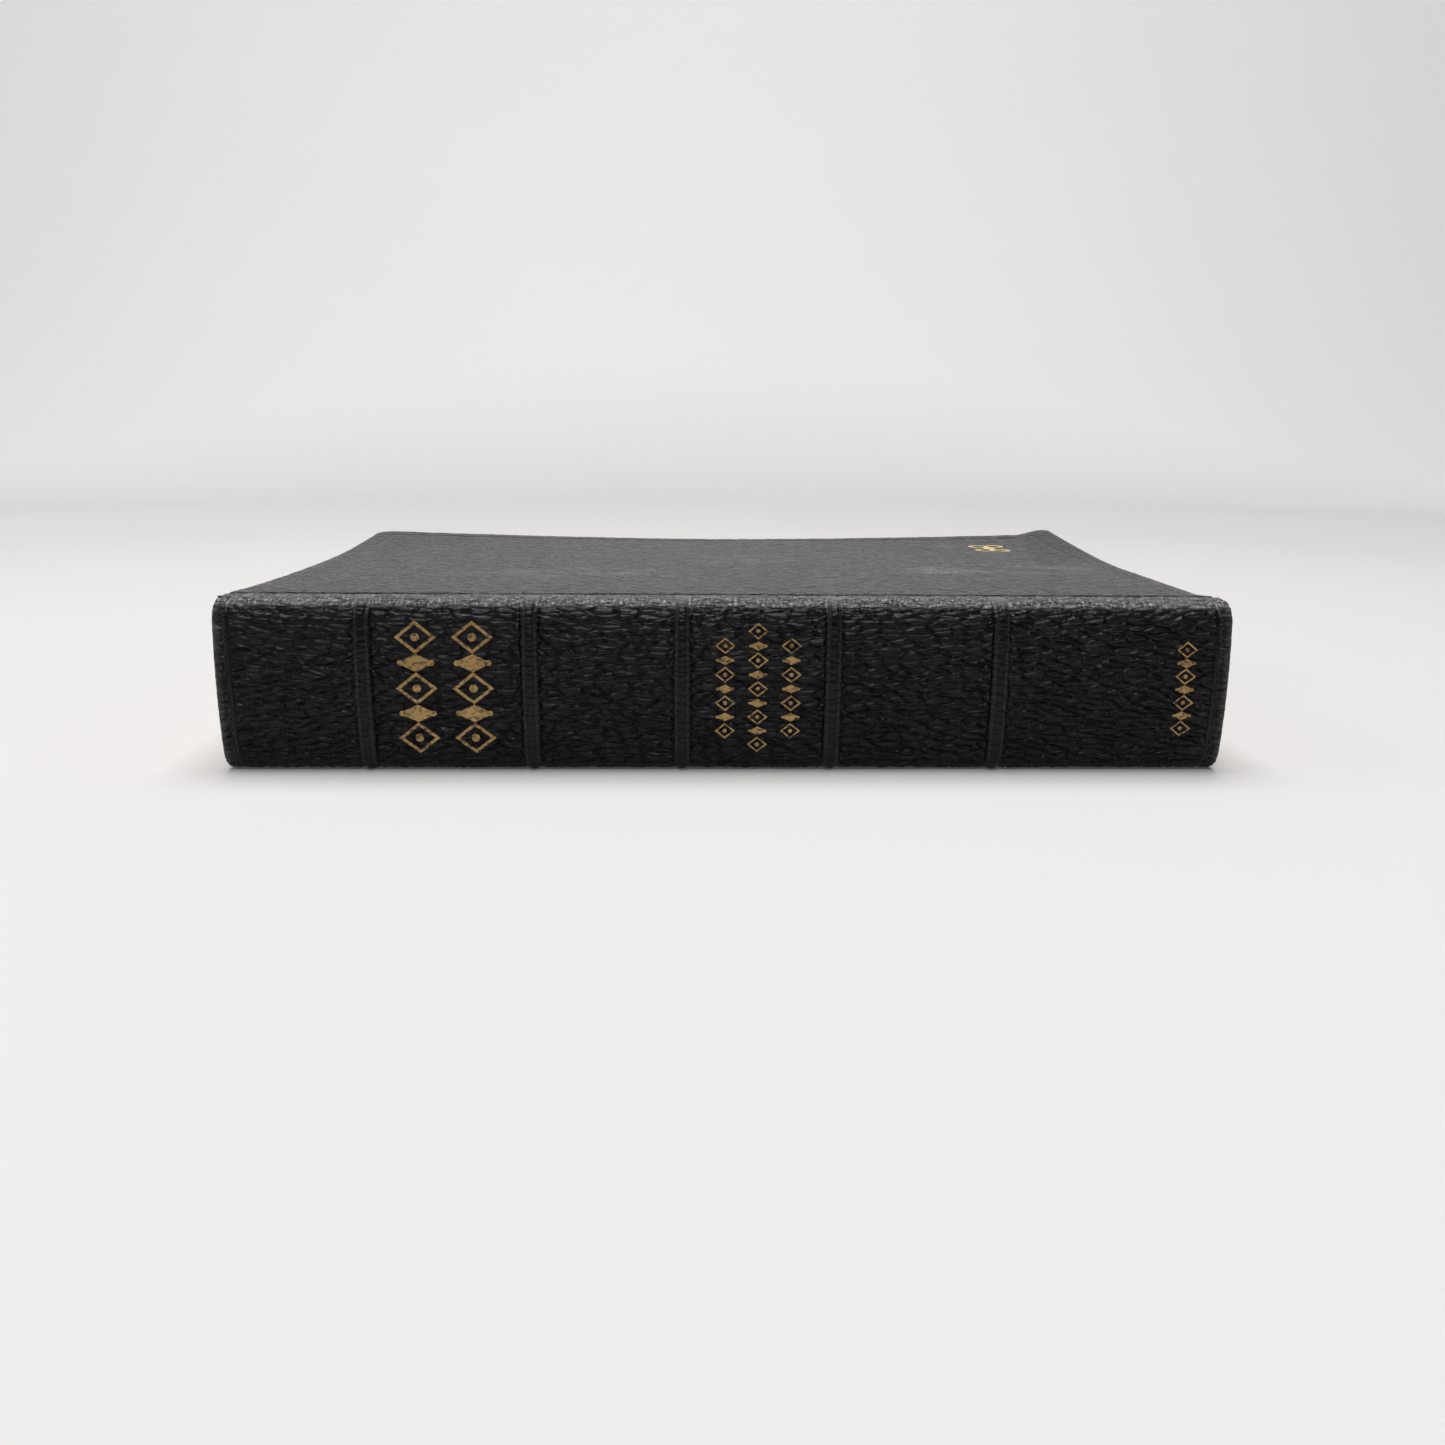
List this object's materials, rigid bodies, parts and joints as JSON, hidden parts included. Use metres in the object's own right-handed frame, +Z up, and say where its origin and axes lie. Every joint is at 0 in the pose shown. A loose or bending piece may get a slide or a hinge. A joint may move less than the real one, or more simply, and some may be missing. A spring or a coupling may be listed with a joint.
{
  "type": "bible",
  "caption": "Closed leather-bound Bible with raised bands across a rounded back; covers, the two halves of the sewn book block and its middle leaves all open.",
  "frame": {"origin": "centre of the closed book's bounding box, on the surface it lies on (outside of the back cover)", "axes": "+X along the spine from head to tail, +Y from the spine to the fore-edge, +Z up, through the thickness, towards the front cover"},
  "size_m": [0.21, 0.1426, 0.0363],
  "materials": {
    "black_leather": "pebble grain, worn, satin",
    "leather_core": "plain split leather",
    "board": "thin grey bookbinding board",
    "lining_paper": "brown kraft paper",
    "mull_cloth": "open starched cotton",
    "linen_thread": "twisted linen",
    "endband_silk": "worked silk, two colours",
    "endpaper": "black coated endpaper",
    "bible_paper": "thin opaque paper, worn gilt edges"
  },
  "bodies": {
    "back_block": {"back_band_cores": "leather_core", "back_free_endpaper": "endpaper", "back_head_band": "endband_silk", "back_kettle_stitches": "linen_thread", "back_mull": "mull_cloth", "back_sewing_cords": "linen_thread", "back_spine_leather": "black_leather", "back_spine_lining": "lining_paper", "back_tail_band": "endband_silk", "section_11": "bible_paper", "section_12": "bible_paper", "section_13": "bible_paper", "section_14": "bible_paper", "section_15": "bible_paper", "section_16": "bible_paper", "section_17": "bible_paper", "section_18": "bible_paper", "section_19": "bible_paper", "section_20": "bible_paper"},
    "front_block": {"front_band_cores": "leather_core", "front_free_endpaper": "endpaper", "front_head_band": "endband_silk", "front_kettle_stitches": "linen_thread", "front_mull": "mull_cloth", "front_sewing_cords": "linen_thread", "front_spine_leather": "black_leather", "front_spine_lining": "lining_paper", "front_tail_band": "endband_silk", "section_01": "bible_paper", "section_02": "bible_paper", "section_03": "bible_paper", "section_04": "bible_paper", "section_05": "bible_paper", "section_06": "bible_paper", "section_07": "bible_paper", "section_08": "bible_paper", "section_09": "bible_paper", "section_10": "bible_paper"},
    "front_cover": {"front_cover_board": "board", "front_cover_leather": "black_leather", "front_pastedown": "endpaper"},
    "back_cover": {"back_cover_board": "board", "back_cover_leather": "black_leather", "back_pastedown": "endpaper"},
    "leaf_1": {"turning_leaf_1": "bible_paper"},
    "leaf_2": {"turning_leaf_2": "bible_paper"},
    "leaf_3": {"turning_leaf_3": "bible_paper"},
    "leaf_4": {"turning_leaf_4": "bible_paper"}
  },
  "joints": [
    {"name": "book_opening", "type": "hinge", "parent": "back_block", "child": "front_block", "pos_m": [0, -0.0714, 0.01815], "axis": [1, 0, 0], "range_deg": [0, 180]},
    {"name": "front_cover_opening", "type": "hinge", "parent": "front_block", "child": "front_cover", "pos_m": [0, -0.06275, 0.03775], "axis": [1, 0, 0], "range_deg": [0, 180]},
    {"name": "back_cover_opening", "type": "hinge", "parent": "back_block", "child": "back_cover", "pos_m": [0, -0.06275, -0.00015], "axis": [1, 0, 0], "range_deg": [-180, 0]},
    {"name": "leaf_1_turning", "type": "hinge", "parent": "back_block", "child": "leaf_1", "pos_m": [0, -0.0714, 0.01815], "axis": [1, 0, 0], "range_deg": [0, 36]},
    {"name": "leaf_2_turning", "type": "hinge", "parent": "back_block", "child": "leaf_2", "pos_m": [0, -0.0714, 0.01815], "axis": [1, 0, 0], "range_deg": [0, 72]},
    {"name": "leaf_3_turning", "type": "hinge", "parent": "back_block", "child": "leaf_3", "pos_m": [0, -0.0714, 0.01815], "axis": [1, 0, 0], "range_deg": [0, 108]},
    {"name": "leaf_4_turning", "type": "hinge", "parent": "back_block", "child": "leaf_4", "pos_m": [0, -0.0714, 0.01815], "axis": [1, 0, 0], "range_deg": [0, 144]}
  ],
  "couplings": [
    {"joint": "leaf_1_turning", "follows": "book_opening", "ratio": 0.2},
    {"joint": "leaf_2_turning", "follows": "book_opening", "ratio": 0.4},
    {"joint": "leaf_3_turning", "follows": "book_opening", "ratio": 0.6},
    {"joint": "leaf_4_turning", "follows": "book_opening", "ratio": 0.8}
  ]
}
